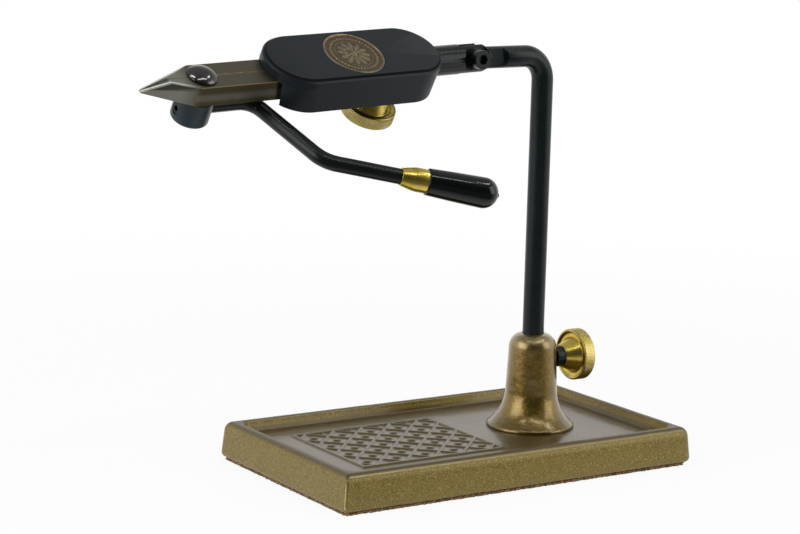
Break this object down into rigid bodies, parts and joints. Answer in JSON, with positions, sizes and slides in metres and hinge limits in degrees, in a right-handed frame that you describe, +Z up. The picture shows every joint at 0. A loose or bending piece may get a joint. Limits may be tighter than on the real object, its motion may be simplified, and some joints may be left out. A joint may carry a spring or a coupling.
{
  "type": "fly tying vise",
  "caption": "Fly tying vise: cast tray base, bent stem in a bell-shaped socket, tilting and rotating head with long spring jaws opened by a cam lever.",
  "frame": {"origin": "middle of the base's underside, on the surface that it stands on", "axes": "+X along the base towards the stem's end, +Y away from the side with the lever, +Z up; the jaws point along -X"},
  "size_m": [0.2539, 0.119, 0.1903],
  "materials": {
    "bronze": "sand-cast bronze, lacquered",
    "bronze_bright": "cast bronze, glossy",
    "cork": "cork and rubber sheet",
    "black_steel": "black oxide",
    "dark_steel": "gunmetal tempered steel",
    "brass": "turned brass",
    "black_anodised": "black anodised",
    "rubber": "black rubber",
    "vinyl": "dipped vinyl"
  },
  "bodies": {
    "base": {"base_casting": "bronze", "cork_pad": "cork", "pedestal": "bronze_bright", "pedestal_screw": "black_steel"},
    "base_thumbscrew": {"thumb_screw": "black_steel", "thumb_knob": "brass", "screw_tip": "brass"},
    "stem_ring": {"stem_o_ring": "rubber"},
    "bent_stem": {"stem": "black_steel"},
    "tilting_shaft": {"head_shaft": "black_steel", "clevis_screw": "black_steel", "clevis_washer": "black_steel"},
    "rotary_head": {"head_body": "black_anodised", "medallion": "bronze_bright", "jaw_pins": "dark_steel"},
    "tension_screw": {"tension_knob": "brass", "tension_stud": "black_steel", "tension_shoe": "brass"},
    "front_jaw": {"jaw_front": "dark_steel"},
    "back_jaw": {"jaw_back": "dark_steel"},
    "cam_lever": {"cam_pin": "black_steel", "cam_hub": "black_steel", "hub_set_screw": "black_steel", "lever_rod": "black_steel", "lever_ferrule": "brass", "lever_grip": "vinyl"}
  },
  "joints": [
    {"name": "stem_height", "type": "slide", "parent": "base", "child": "stem_ring", "axis": [0, 0, 1], "range_m": [0, 0.013]},
    {"name": "stem_swivel", "type": "hinge", "parent": "stem_ring", "child": "bent_stem", "pos_m": [0.0392, 0, 0.0887], "axis": [0, 0, 1], "continuous": true},
    {"name": "head_tilt", "type": "hinge", "parent": "bent_stem", "child": "tilting_shaft", "pos_m": [-0.00227, -0.00329, 0.1774], "axis": [0.0792, -0.9969, 0], "range_deg": [-50, 50]},
    {"name": "head_rotation", "type": "hinge", "parent": "tilting_shaft", "child": "rotary_head", "pos_m": [-0.02299, -0.00494, 0.17659], "axis": [-0.9961, -0.0791, -0.0387], "continuous": true},
    {"name": "lever_squeeze", "type": "hinge", "parent": "rotary_head", "child": "cam_lever", "pos_m": [-0.13655, -0.00745, 0.16168], "axis": [0.0087, -0.5258, 0.8505], "range_deg": [0, 25], "stiffness_Nm_per_rad": 4, "springref_deg": -11.46},
    {"name": "front_jaw_opening", "type": "hinge", "parent": "rotary_head", "child": "front_jaw", "pos_m": [-0.08162, -0.01286, 0.17229], "axis": [0.0087, -0.5258, 0.8505], "range_deg": [0, 0.95]},
    {"name": "back_jaw_opening", "type": "hinge", "parent": "rotary_head", "child": "back_jaw", "pos_m": [-0.08229, -0.00638, 0.17631], "axis": [-0.0087, 0.5258, -0.8505], "range_deg": [0, 0.95]},
    {"name": "rotation_drag", "type": "hinge", "parent": "rotary_head", "child": "tension_screw", "pos_m": [-0.04696, -0.00266, 0.1689], "axis": [0.0087, -0.5258, 0.8505], "range_deg": [-360, 360]},
    {"name": "stem_lock", "type": "hinge", "parent": "base", "child": "base_thumbscrew", "pos_m": [0.0507, 0, 0.0422], "axis": [1, 0, 0], "range_deg": [-360, 360]}
  ],
  "couplings": [
    {"joint": "front_jaw_opening", "follows": "lever_squeeze", "ratio": 0.0369},
    {"joint": "back_jaw_opening", "follows": "lever_squeeze", "ratio": 0.0369}
  ]
}
